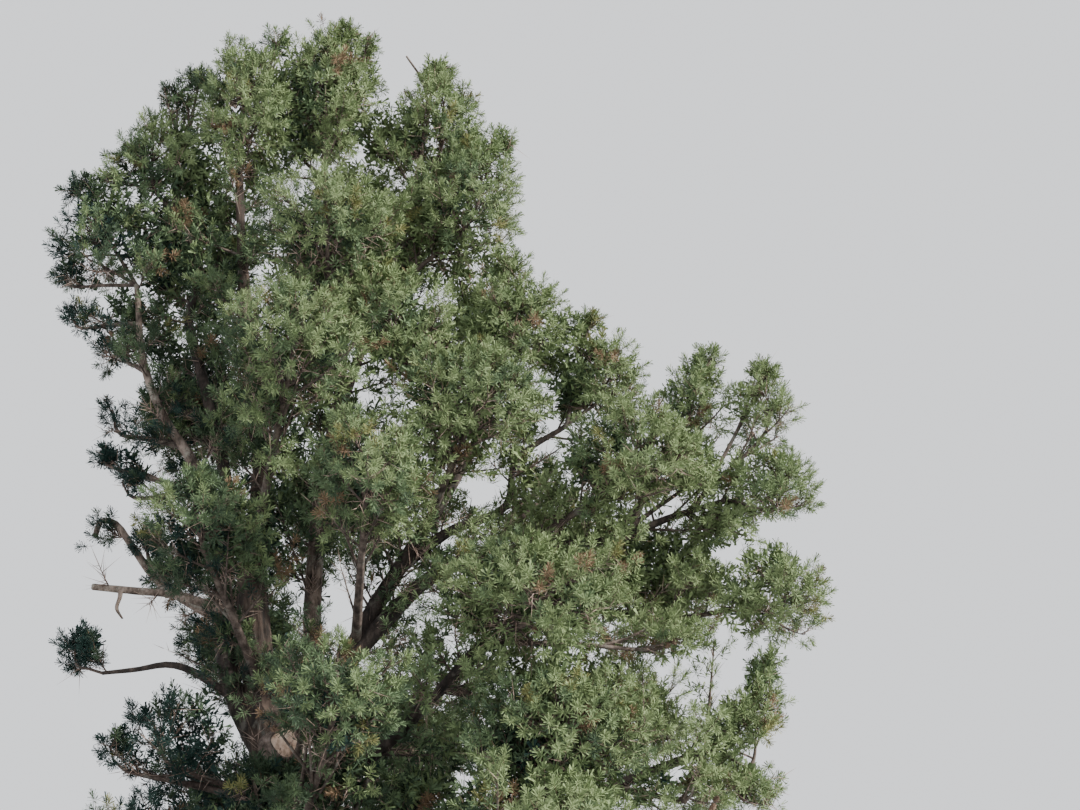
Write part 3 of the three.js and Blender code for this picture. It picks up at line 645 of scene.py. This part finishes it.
def surface(size):
    """The surface of a body with three half sizes."""
    x, y, z = size
    sides = (x * y) ** AREA_POWER + (x * z) ** AREA_POWER + (y * z) ** AREA_POWER
    return 4 * math.pi * (sides / 3) ** (1 / AREA_POWER)


def swung(ways, degrees, turns):
    """Directions leaning away from the given ones by some degrees, turned round them by an angle."""
    side = unit(np.cross(ways, SIDEWAYS))
    across = np.cross(ways, side)
    lean = np.radians(degrees)[..., None]
    turn = np.asarray(turns)[..., None]
    return ways * np.cos(lean) + (side * np.cos(turn) + across * np.sin(turn)) * np.sin(lean)


def bow(foot, bend, tip, shares):
    """Points on bent lines, one row for each line, and the lines' headings there."""
    foot, bend, tip = foot[:, None], bend[:, None], tip[:, None]
    t = shares[..., None]
    way = unit((bend - foot) * (1 - t) + (tip - bend) * t)
    return foot * (1 - t) ** 2 + 2 * bend * t * (1 - t) + tip * t**2, way


def straight(foot, tip, shares):
    """The same for straight lines."""
    run = (tip - foot)[:, None]
    return foot[:, None] + run * shares[..., None], unit(run)


def swelling(ways, seed):
    """How far a mass reaches in each direction, as a share of the way to its surface."""
    return np.interp(noise(unit(ways) * LUMP_RATE + seed, seed), LUMP_NOISE, LUMPS)


def spiral(height, angle):
    """Directions at heights from -1 to 1 and at angles round."""
    ring = np.sqrt(1 - height**2)
    return np.stack([ring * np.cos(angle), ring * np.sin(angle), height], axis=-1)


def grow_branches(mass, stem, seed, rng):
    """Branches spread over the mass's space by the source's rule: their feet, bends and tips."""
    centre, size = np.array(mass[3:])
    count = max(LEAST_BRANCHES, round(BRANCHES_PER_AREA * surface(size)))
    i = np.arange(count)
    way = spiral(1 - (1 - LOWEST_BRANCH) * (i + FIRST_BRANCH) / count, i * GOLDEN_ANGLE + seed)
    outward = way * size * swelling(way, seed)[:, None]
    tip = centre + outward * rng.uniform(*BRANCH_REACH, (count, 1))
    ahead = 0.5 + 0.5 * unit(outward) @ stem.heading(0.8)
    foot = stem.at((BRANCH_FEET[0] + BRANCH_FEET[1] * ahead) * rng.uniform(*BRANCH_FEET_PLAY, count))
    sag = norm(tip - foot, axis=1) * rng.uniform(*BRANCH_SAG, count)
    bend = foot + (tip - foot) * BRANCH_BEND - UP * sag[:, None]
    free = ~(kept_open(tip) | kept_open((bend + tip) / 2))
    return foot[free], bend[free], tip[free]


def sprout(line, ends, middle, rule, rng):
    """Twigs on bent lines or shoots on straight ones, turned away from a middle: their feet and tips."""
    each, stretch, play, leans, last_lean, outward, upward, lengths = rule
    share = np.linspace(*stretch, each) + rng.uniform(-play, 0, (len(ends[0]), each))
    foot, along = line(*ends, share)
    turn = np.arange(each) * GOLDEN_ANGLE + rng.uniform(0, 2 * math.pi, (len(share), 1))
    lean = rng.uniform(*leans, share.shape)
    lean[:, -1] = last_lean
    way = unit(swung(along, lean, turn) + outward * unit(foot - middle) + upward * UP)
    tip = foot + way * rng.uniform(*lengths, (*share.shape, 1))
    return foot.reshape(-1, 3), tip.reshape(-1, 3)


def grow_bare_twigs(branches, rng):
    """Dead twigs along each branch, but for those in the gaps: their feet and tips."""
    share = rng.uniform(*BARE_FEET, (len(branches[0]), BARE_TWIGS))
    foot, along = bow(*branches, share)
    lean = rng.uniform(*BARE_LEAN, share.shape)
    way = swung(along, lean, rng.uniform(0, 2 * math.pi, share.shape))
    tip = foot + way * rng.uniform(*BARE_LENGTH, (*share.shape, 1))
    foot, tip = foot.reshape(-1, 3), tip.reshape(-1, 3)
    free = ~kept_open(tip)
    return foot[free], tip[free]


def kept_open(points):
    """Which points lie in a gap that shows sky."""
    inside = np.zeros(len(points), bool)
    upright = np.array([0, -math.sin(VIEW_TILT), math.cos(VIEW_TILT)])
    along = np.array([0, math.cos(VIEW_TILT), math.sin(VIEW_TILT)])
    for centre, size in OPENINGS:
        gap = points - centre
        seen = np.stack([gap[:, 0], gap @ upright, gap @ along], axis=-1) / size
        inside |= norm(seen, axis=1) < 1
    return inside


def painted_light_by_crown(points):
    """Painted light and shade: how much lighter needles are for their place in the crown, darker on its
    shaded side.
    """
    return np.interp(points @ SHADE_WAY + SHADE_OUT * np.abs(points[:, 1]), SHADE_PLACES, SHADE_THERE)


def deal_tones(tips, offset, rng):
    """How light each twig's needles are: painted light and shade by its place in its mass and in the crown,
    with older needles darker deep in a mass, and chance.
    """
    painted_light_and_age = TONE_OUT * norm(offset, axis=1) + PAINTED_SUNLIGHT * offset @ SUNWARD
    by_branch = np.repeat(rng.normal(0, TONE_CHANCE, len(offset) // TWIGS_PER_BRANCH), TWIGS_PER_BRANCH)
    return painted_light_and_age + painted_light_by_crown(tips) + by_branch + rng.normal(0, TONE_CHANCE, len(offset))


def grow_mass(mass, seed):
    """A mass's stem, branches, twigs and shoots, with a tone for each shoot's needles."""
    rng = np.random.default_rng(seed + 11)
    name = mass[0]
    centre, size = np.array(mass[3:])
    stem = stem_path(mass)
    branches = grow_branches(mass, stem, seed, rng)
    foot, tip = sprout(bow, branches, centre, TWIG_RULE, rng)
    out = norm((tip - centre) / (size - TWIG_MARGIN), axis=1, keepdims=True)
    reach = rng.uniform(*TWIG_END, out.shape) * swelling((tip - centre) / size, seed)[:, None]
    tip = centre + (tip - centre) * np.minimum(1, reach / out)
    offset = (tip - centre) / size
    spray = name == "spray"
    tone = deal_tones(tip, offset, rng) + SPRAY_TONE * spray + PAINTED_LIGHT_APART.get(name, 0)
    thinned = SPRAY_THINNED if spray else THINNED.get(name, 0)
    kept = (rng.random(len(foot)) > thinned) & ~kept_open(tip)
    alive = rng.random(len(foot)) > DEAD_UNDER * np.clip(-2 * offset[:, 2], 0, 1)
    full = kept & alive
    twigs = foot[full], tip[full]
    shoots = sprout(straight, twigs, centre, SHOOT_RULE, rng)
    dead = foot[kept & ~alive], tip[kept & ~alive]
    dead_shoots = sprout(straight, dead, centre, SHOOT_RULE, rng)
    leafless = zip(dead, dead_shoots, grow_bare_twigs(branches, rng))
    outward = unit((shoots[1] - centre) / size)
    return {"mass": mass, "stem": stem, "branches": branches, "twigs": twigs,
            "shoots": (*shoots, outward, np.repeat(tone[full], SHOOTS_PER_TWIG)),
            "bare_twigs": tuple(map(np.concatenate, leafless))}


def grow_on_limb(name, first, last, length, rng):
    """Short leafy branches from a limb."""
    path = LIMB_PLAN[name][0]
    return grow_along(path, lambda share: limb_radius(name, share), first, last, length, rng)


def grow_on_stems(grown, rng):
    """Leafy branches on the bare stretch of each long stem."""
    stems = [plant["stem"] for plant in grown if plant["mass"][0] not in (*THINNED, "spray")]
    return [grow_along(stem, lambda share: BARE_STEM_RADIUS, *STEM_BRANCHES, rng)
            for stem in stems if stem.length > BARE_STEM]


def grow_along(path, radius, first, last, length, rng):
    """Short leafy branches along a path, in the shape that a mass's have."""
    count = max(LEAST_BRANCHES, int(path.length * (last - first) * length / LIMB_BRANCH_STEP))
    share = first + (last - first) * (np.arange(count) + rng.uniform(0, 1, count)) / count
    turn = np.arange(count) * GOLDEN_ANGLE + rng.uniform(0, 1, count)
    lean = rng.uniform(*LIMB_BRANCH_LEAN, count)
    way = unit(swung(path.heading(share), lean, turn) + LIMB_BRANCH_LIFT * UP)
    foot = path.at(share)
    start = np.array([radius(s) for s in share])[:, None]
    tip = foot + way * (start + length * rng.uniform(*LIMB_BRANCH_LENGTH, (count, 1)))
    free = ~(kept_open(tip) | kept_open((foot + tip) / 2))
    foot, tip = foot[free], tip[free]
    branches = foot, (foot + tip) / 2 - UP * LIMB_BRANCH_SAG, tip
    middle = np.repeat(foot, TWIGS_PER_BRANCH, axis=0)
    twigs = sprout(bow, branches, foot[:, None], TWIG_RULE, rng)
    shoots = sprout(straight, twigs, middle[:, None], SHOOT_RULE, rng)
    tone = LIMB_TONE[0] + painted_light_by_crown(twigs[1]) + rng.normal(0, LIMB_TONE[1], len(middle))
    outward = unit(shoots[1] - np.repeat(middle, SHOOTS_PER_TWIG, axis=0))
    return {"branches": branches, "twigs": twigs,
            "shoots": (*shoots, outward, np.repeat(tone, SHOOTS_PER_TWIG)),
            "bare_twigs": grow_bare_twigs(branches, rng)}


def grow_dead_on_limb(name, first, last, length, rng):
    """Dead branches on a limb: those that it would carry alive, with bare twigs for the leafy ones."""
    plant = grow_on_limb(name, first, last, length, rng)
    bare = tuple(map(np.concatenate, zip(plant["twigs"], plant["bare_twigs"])))
    return {"branches": plant["branches"], "bare_twigs": bare}


def clear_of_limbs(points):
    """Which points are far enough from the surface of every limb."""
    free = np.ones(len(points), bool)
    for name, (path, _) in LIMB_PLAN.items():
        share = np.linspace(0, 1, int(path.length / LIMB_STEP))
        for spot, radius in zip(path.at(share), limb_radius(name, share)):
            free &= norm(points - spot, axis=1) - radius > LIMB_ROOM
    return free


def depth_in_crown(points):
    """How many tufts stand between each tuft and the open air, on the clearest of many ways out."""
    low = points.min(axis=0) - DEPTH_CELL
    size = ((points.max(axis=0) - low) / DEPTH_CELL).astype(int) + 2
    grid = np.zeros(size)
    np.add.at(grid, tuple(((points - low) / DEPTH_CELL).astype(int).T), 1)
    for axis in range(3):
        grid = (np.roll(grid, 1, axis) + grid + np.roll(grid, -1, axis)) / 3
    i = np.arange(WAYS_OUT)
    least = np.full(len(points), np.inf)
    for way in spiral(1 - 2 * (i + 0.5) / WAYS_OUT, i * GOLDEN_ANGLE):
        passed = np.zeros(len(points))
        for step in range(1, int(DEPTH_RANGE / DEPTH_CELL)):
            spot = ((points + way * DEPTH_CELL * step - low) / DEPTH_CELL).astype(int)
            inside = np.all((spot >= 0) & (spot < size), axis=1)
            spot = np.clip(spot, 0, size - 1)
            passed += np.where(inside, grid[tuple(spot.T)], 0)
        least = np.minimum(least, passed)
    return least


def needle_mesh(feet, tips, outward, make, rng):
    """A round tuft at the end of each shoot: needles all round it, their flats turned out of the mass."""
    count = len(feet)
    n, width, times = make
    along = unit(tips - feet)[:, None]
    share = (np.arange(n) + rng.uniform(0, 1, (count, n))) / n
    turn = np.arange(n) * GOLDEN_ANGLE + rng.uniform(0, 2 * math.pi, (count, 1))
    spread = TUFT_SPREAD[0] + (TUFT_SPREAD[1] - TUFT_SPREAD[0]) * share**SPREAD_POWER
    spread = spread + rng.normal(0, SPREAD_PLAY, share.shape)
    way = swung(along, spread, turn)
    base = tips[:, None] - along * TUFT_LENGTH * (1 - share[..., None])
    end = base + way * times * rng.uniform(*NEEDLE_LENGTH, (count, n, 1))
    out, up, chance = NEEDLE_FACING
    facing = out * outward[:, None] + up * UP + rng.normal(0, chance, way.shape)
    blade = unit(np.cross(way, facing)) * width / 2
    blunt = rng.random((count, n, 1, 1)) < BLUNT_SHARE
    corners = np.where(blunt, np.stack([end - blade, base, end + blade], axis=2),
                       np.stack([base - blade, base + blade, end], axis=2))
    points = corners.reshape(-1, 3)
    return points, np.arange(len(points)).reshape(-1, 3)


def gather(grown, key):
    """The arrays under a key, each one joined over all plants that have them."""
    return [np.concatenate(arrays) for arrays in zip(*(plant[key] for plant in grown if key in plant))]


def add_branches(grown):
    """Stems and branches as tapering round tubes."""
    parts = []
    for plant in grown:
        foot, _, tip = plant["branches"]
        stations, sides = BRANCH_TUBE
        shares = np.linspace(0, 1, stations)[None]
        radius = BRANCH_RADIUS[0] + BRANCH_RADIUS[1] * norm(tip - foot, axis=1)[:, None]
        radius = np.linspace(1, BRANCH_TAPER, stations) * radius
        parts.append(tubes(bow(*plant["branches"], shares)[0], radius, sides))
        if "stem" not in plant:
            continue
        _, host, share, _, _ = plant["mass"]
        path = plant["stem"]
        stations, sides = STEM_TUBE
        root = min(STEM_TO_LIMB * limb_radius(host, share), STEM_RADIUS[0] + STEM_RADIUS[1] * path.length)
        line = path.at(np.linspace(0, 1, stations))
        parts.append(tubes(line[None], np.linspace(root, STEM_TIP, stations)[None], sides))
    piece = add_mesh("branches", *join_arrays(parts), "twig_bark", "limb_bark", smooth=True)
    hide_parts(*MASS_NODES)


def add_twigs(name, grown, radius, look):
    """All the twigs of a kind, as spikes."""
    piece = add_mesh(name, *spikes(*gather(grown, name), radius), look, "limb_bark")
    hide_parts(*MASS_NODES)


def add_needles(name, shoots, make, look, rng):
    """One kind and tone of tufts, in as many pieces as their triangles need."""
    pieces = math.ceil(len(shoots[0]) * make[0] / MOST_TRIANGLES)
    for i in range(pieces):
        part = [s[i::pieces] for s in shoots]
        label = name if pieces == 1 else f"{name}_{i + 1}"
        piece = add_mesh(label, *needle_mesh(*part, make, rng), look, "needles")
        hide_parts(*MASS_NODES)


def add_tufts(grown):
    """Shoots and tufts: fine needles near the open air, broad ones deep in, dealt out to tones."""
    rng = np.random.default_rng(5)
    feet, tips, outward, tone = gather(grown, "shoots")
    tone = tone + rng.normal(0, TONE_PLAY, len(tone))
    luck = np.repeat(rng.random(len(feet) // SHOOTS_PER_TWIG), SHOOTS_PER_TWIG)
    free = clear_of_limbs(tips) & ~kept_open(tips)
    feet, tips, outward, tone, luck = (values[free] for values in (feet, tips, outward, tone, luck))
    rank = np.argsort(np.argsort(depth_in_crown(tips))) / len(tips)
    near = rank < TUFT_KINDS[0][1]
    shoots = {"shoots": (feet[near], tips[near])}
    add_twigs("shoots", [shoots], SHOOT_RADIUS, "shoot_bark")
    tufts = feet, tips, outward
    lowest = -math.inf
    for name, highest, _ in TONES:
        toned = (tone > lowest) & (tone <= highest) & (luck > ODD_SHARES[-1][1])
        lowest = highest
        nearest = 0
        for kind, furthest, *make in TUFT_KINDS:
            part = toned & (rank >= nearest) & (rank < furthest)
            nearest = furthest
            add_needles(f"{name}_{kind}", [ends[part] for ends in tufts], make, name, rng)
    lowest = 0
    for name, highest, _ in ODD_SHARES:
        part = (luck > lowest) & (luck <= highest)
        lowest = highest
        add_needles(name, [ends[part] for ends in tufts], TUFT_KINDS[0][2:], name, rng)


def add_cones(grown):
    """Squat cones held close to the branches, in threes, each with bosses in rows."""
    rng = np.random.default_rng(8)
    branches = gather([plant for plant in grown if "mass" in plant], "branches")
    chosen = rng.choice(len(branches[0]), CONE_GROUPS, replace=False)
    share = rng.uniform(*CONE_FEET, (CONE_GROUPS, 1))
    spot = bow(*(ends[chosen] for ends in branches), share)[0][:, 0]
    spot = np.repeat(spot, CONES_TOGETHER, axis=0)
    spot = spot + rng.normal(0, CONE_SCATTER, spot.shape)
    way = unit(rng.normal(0, 1, spot.shape) + UP * CONE_DROOP)
    ring = rings_round(way, CONE_SIDES)
    rows = []
    for i, (far, wide) in enumerate(CONE_ROWS):
        boss = 1 + CONE_BOSSES * (-1) ** (np.arange(CONE_SIDES) + i)[:, None]
        rows.append((spot + way * CONE_SIZE[0] * far)[:, None] + ring * CONE_SIZE[1] * wide * boss)
    points = np.stack(rows, axis=1)
    faces = ring_faces(*points.shape[:-1]).reshape(-1, 4)
    piece = add_mesh("cones", points.reshape(-1, 3), faces, "cone_scales", "limb_bark")
    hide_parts(*MASS_NODES)


def dress_masses():
    rng = np.random.default_rng(3)
    masses = ALL_MASSES + [("spray", *spray) for spray in SPRAYS]
    grown = [grow_mass(mass, i) for i, mass in enumerate(masses)]
    grown += grow_on_stems(grown, rng)
    grown += [grow_on_limb(*limb, rng) for limb in LEAFY_LIMBS]
    grown += [grow_dead_on_limb(*limb, rng) for limb in DEAD_LIMBS]
    add_branches(grown)
    add_twigs("twigs", grown, TWIG_RADIUS, "twig_bark")
    add_twigs("bare_twigs", grown, BARE_TWIG_RADIUS, "bare_twig")
    add_tufts(grown)
    add_cones(grown)


# Barks: name, cracks, dark and light plates, lichen, how far they stretch upright, and the grain's depth
BARKS = [
    ("furrowed_bark", (0.008, 0.006, 0.005), (0.036, 0.024, 0.018), (0.098, 0.068, 0.053),
     (0.1, 0.095, 0.08), 0.25, 0.03),
    ("pale_bark", (0.026, 0.019, 0.015), (0.13, 0.098, 0.08), (0.3, 0.24, 0.205),
     (0.26, 0.24, 0.205), 0.5, 0.012),
    ("dark_bark", (0.01, 0.008, 0.007), (0.03, 0.022, 0.019), (0.08, 0.06, 0.052),
     (0.1, 0.09, 0.078), 0.5, 0.012),
    ("twig_bark", (0.026, 0.018, 0.015), (0.075, 0.055, 0.046), (0.15, 0.118, 0.1),
     (0.15, 0.14, 0.12), 1, 0.004),
    ("shoot_bark", (0.06, 0.038, 0.024), (0.12, 0.08, 0.052), (0.17, 0.12, 0.08),
     (0.1, 0.09, 0.05), 1, 0.002),
    ("bare_twig", (0.12, 0.083, 0.066), (0.29, 0.208, 0.17), (0.44, 0.34, 0.29),
     (0.27, 0.235, 0.21), 1, 0.002),
    ("wound_collar", (0.03, 0.022, 0.018), (0.11, 0.082, 0.068), (0.22, 0.17, 0.15),
     (0.2, 0.17, 0.15), 1, 0.01),
    ("wound_face", (0.22, 0.14, 0.1), (0.6, 0.43, 0.33), (0.78, 0.62, 0.5), (0.42, 0.32, 0.27), 0.6, 0.01),
    ("cone_scales", (0.03, 0.018, 0.012), (0.1, 0.062, 0.04), (0.17, 0.115, 0.08),
     (0.16, 0.12, 0.09), 1, 0.004),
]
FLECKS = (0.78, 1.22)  # how dark and how light needles are beside their base colour


def new_material(name):
    material = bpy.data.materials.new(name)
    material.use_nodes = True
    nodes = material.node_tree.nodes
    return material, nodes, material.node_tree.links, nodes["Principled BSDF"]


def ramp(nodes, links, noise_value, stops):
    """The colours that a noise takes between the given stops."""
    node = nodes.new("ShaderNodeValToRGB")
    elements = node.color_ramp.elements
    while len(elements) < len(stops):
        elements.new(0.5)
    for element, (place, colour) in zip(elements, stops):
        element.position = place
        element.color = (*colour, 1)
    links.new(noise_value, node.inputs["Fac"])
    return node.outputs["Color"]


def noise_node(nodes, links, scale, upright, detail, roughness):
    """Noise in metres over the object, squeezed or stretched upright."""
    where = nodes.new("ShaderNodeTexCoord")
    mapping = nodes.new("ShaderNodeMapping")
    mapping.inputs["Scale"].default_value = (1, 1, upright)
    texture = nodes.new("ShaderNodeTexNoise")
    texture.inputs["Scale"].default_value = scale
    texture.inputs["Detail"].default_value = detail
    texture.inputs["Roughness"].default_value = roughness
    links.new(where.outputs["Object"], mapping.inputs["Vector"])
    links.new(mapping.outputs["Vector"], texture.inputs["Vector"])
    return texture.outputs["Fac"]


def bark_material(name, cracks, dark, light, lichen, upright, depth):
    """Furrowed bark: dark cracks between plates of two tones, with patches of lichen."""
    material, nodes, links, shader = new_material(name)
    pattern = noise_node(nodes, links, scale=7, upright=upright, detail=6, roughness=0.65)
    patch = noise_node(nodes, links, scale=3.1, upright=0.7, detail=5, roughness=0.7)
    grain = noise_node(nodes, links, scale=34, upright=upright, detail=4, roughness=0.7)
    base = ramp(nodes, links, pattern, [(0.36, cracks), (0.5, dark), (0.66, light)])
    where = ramp(nodes, links, patch, [(0.56, (0, 0, 0)), (0.66, (1, 1, 1))])
    mix = nodes.new("ShaderNodeMix")
    mix.data_type = "RGBA"
    mix.inputs["B"].default_value = (*lichen, 1)
    links.new(where, mix.inputs["Factor"])
    links.new(base, mix.inputs["A"])
    links.new(mix.outputs["Result"], shader.inputs["Base Color"])
    relief = nodes.new("ShaderNodeBump")
    relief.inputs["Strength"].default_value = 0.7
    relief.inputs["Distance"].default_value = depth
    links.new(grain, relief.inputs["Height"])
    links.new(relief.outputs["Normal"], shader.inputs["Normal"])
    shader.inputs["Roughness"].default_value = 0.92
    return material


def needle_material(name, colour):
    """Needles: one base colour for the piece, with a fine play of light and dark."""
    material, nodes, links, shader = new_material(name)
    fleck = noise_node(nodes, links, scale=11, upright=1, detail=2, roughness=0.5)
    dark, light = (tuple(c * times for c in colour) for times in FLECKS)
    links.new(ramp(nodes, links, fleck, [(0.35, dark), (0.65, light)]), shader.inputs["Base Color"])
    shader.inputs["Roughness"].default_value = 0.7
    shader.inputs["Specular IOR Level"].default_value = 0.25
    return material


# Stage, light and camera
CAMERA_AT = (3.8, -30.0, 1.6)
CAMERA_PITCH = 25
LENS = 65
FLOOR_SIZE = 120
FLOOR_DROP = 0.002  # below the trunk's cut
FLOOR_COLOUR = (0.55, 0.56, 0.57, 1)
SKY_COLOUR = (0.87, 0.89, 0.92, 1)
SUN_COLOUR = (1.0, 0.955, 0.88)


def set_stage():
    bpy.ops.mesh.primitive_plane_add(size=FLOOR_SIZE, location=(0, 0, -FLOOR_DROP))
    floor = bpy.context.object
    floor.name = "floor"
    material, _, _, shader = new_material("pale_floor")
    shader.inputs["Base Color"].default_value = FLOOR_COLOUR
    shader.inputs["Roughness"].default_value = 0.9
    floor.data.materials.append(material)

    world = bpy.data.worlds.new("pale_world")
    bpy.context.scene.world = world
    world.use_nodes = True
    background = world.node_tree.nodes["Background"]
    background.inputs["Color"].default_value = SKY_COLOUR
    background.inputs["Strength"].default_value = 1.4

    light = bpy.data.lights.new("key", "SUN")
    light.energy = 9.5
    light.angle = math.radians(6)
    light.color = SUN_COLOUR
    key = add_object("key", light)
    key.rotation_mode = "QUATERNION"
    key.rotation_quaternion = Vector(TO_SUN).to_track_quat("Z", "Y")

    camera_data = bpy.data.cameras.new("camera")
    camera_data.lens = LENS
    camera_data.sensor_width = 36
    camera_data.clip_end = 500
    camera = add_object("camera", camera_data)
    camera.location = CAMERA_AT
    camera.rotation_euler = (math.radians(90 + CAMERA_PITCH), 0, 0)
    bpy.context.scene.camera = camera


set_stage()
MATERIALS = {name: bark_material(name, *make) for name, *make in BARKS}
MATERIALS |= {name: needle_material(name, colour) for name, _, colour in TONES + ODD_SHARES}
dress_limbs()
add_wound()
dress_masses()
